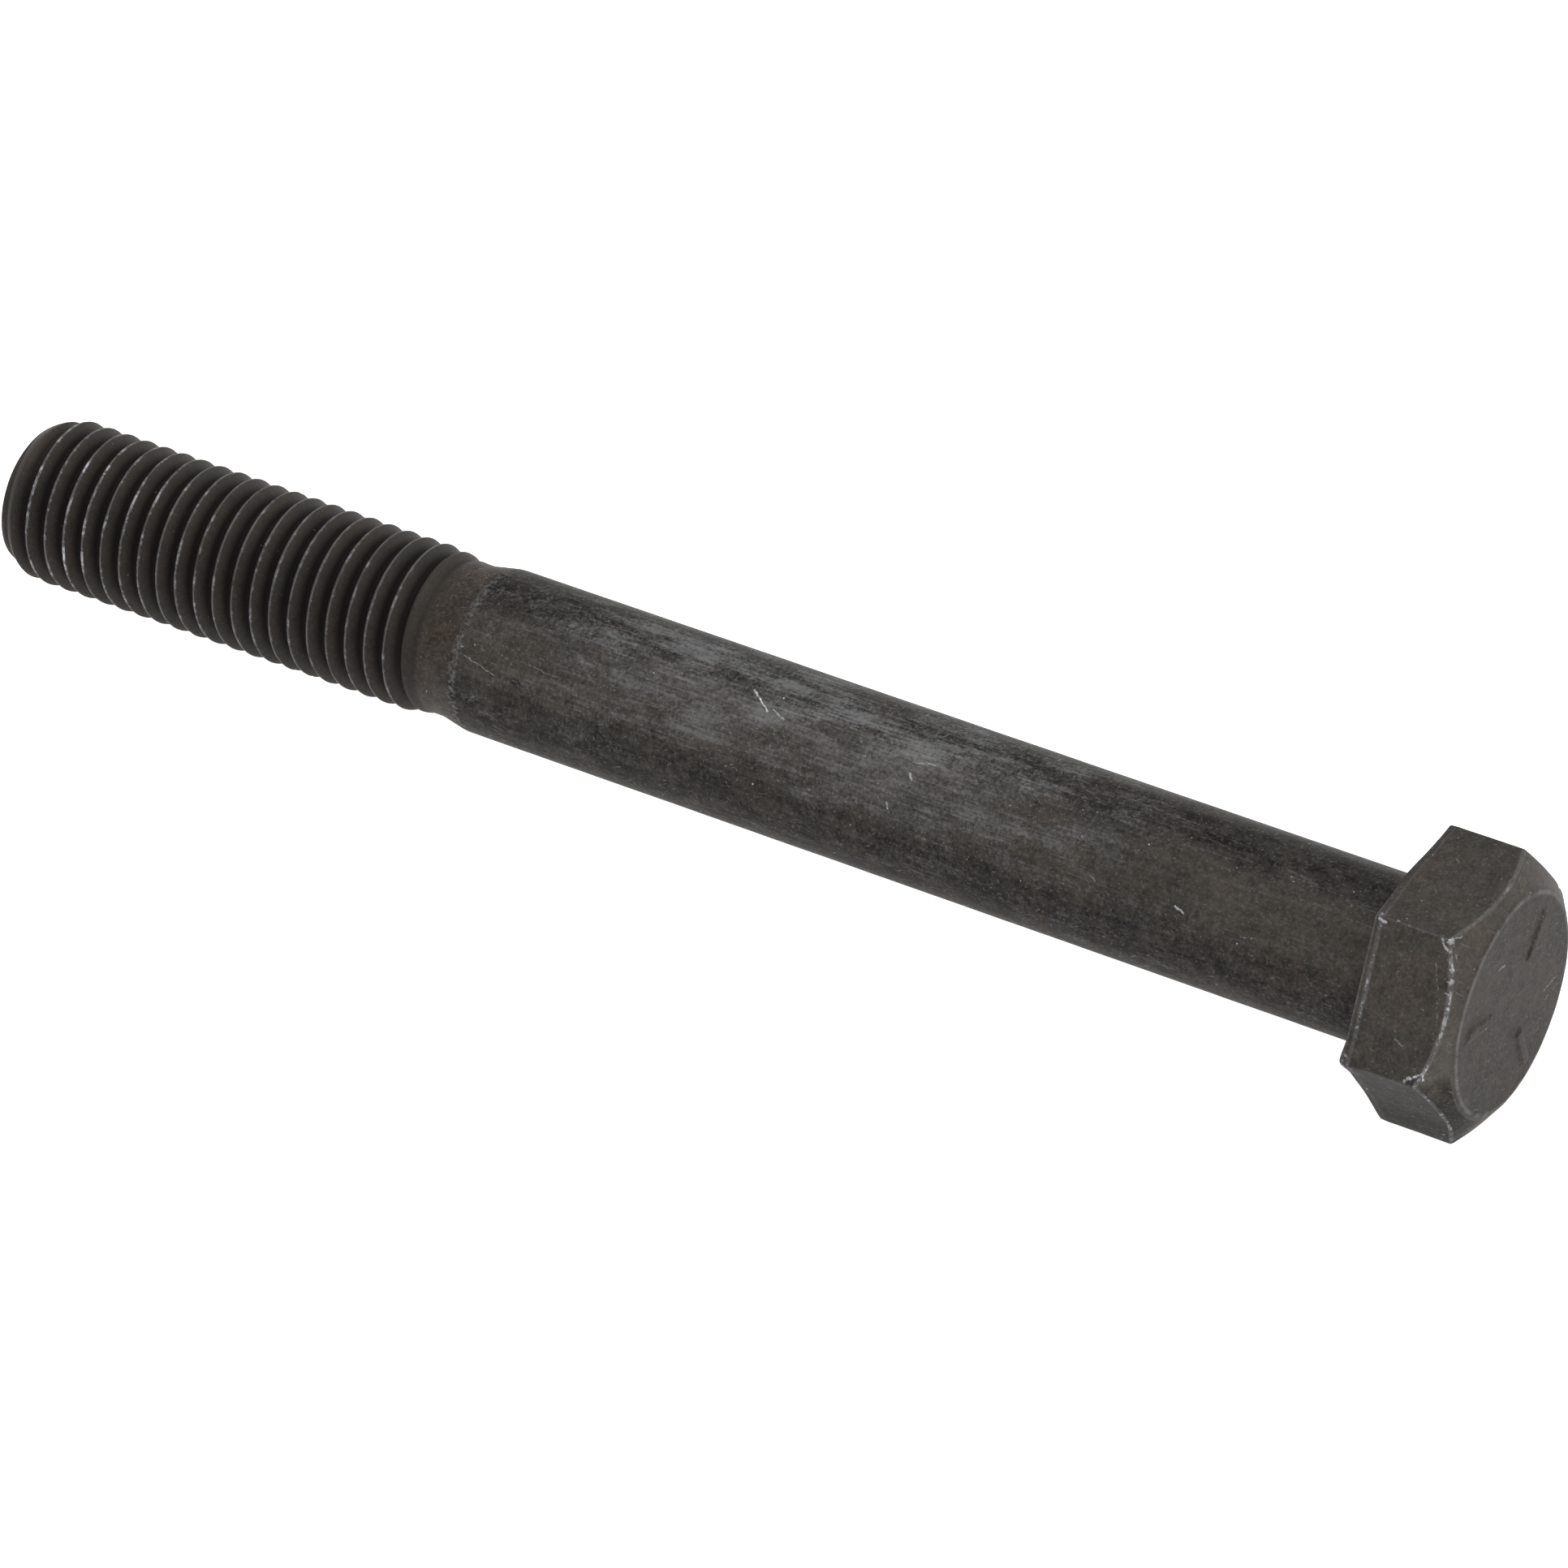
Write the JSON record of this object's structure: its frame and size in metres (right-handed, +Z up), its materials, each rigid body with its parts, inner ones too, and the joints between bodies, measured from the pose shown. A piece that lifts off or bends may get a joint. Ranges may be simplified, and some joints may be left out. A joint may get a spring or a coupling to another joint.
{
  "type": "hex bolt",
  "caption": "Long hex head cap bolt in dark phosphated steel: chamfered hex head, washer face, plain shank, and a coarse right-hand thread with a chamfered point at the end.",
  "frame": {"origin": "centre of the flat circle on top of the head, on the bolt's axis", "axes": "+X along the bolt's axis, from the threaded end to the head's top; +Z up, square to one flat of the head, with the opposite flat facing down; the head's corners point along +Y and -Y"},
  "size_m": [0.1895, 0.033, 0.0286],
  "materials": {
    "phosphated_steel": "dark brown-black phosphate and oil over forged and thread-rolled steel, satin, worn paler along the top of the shank, the thread crests and the head's edges"
  },
  "bodies": {
    "root": {"hex_bolt": "phosphated_steel"}
  },
  "joints": []
}
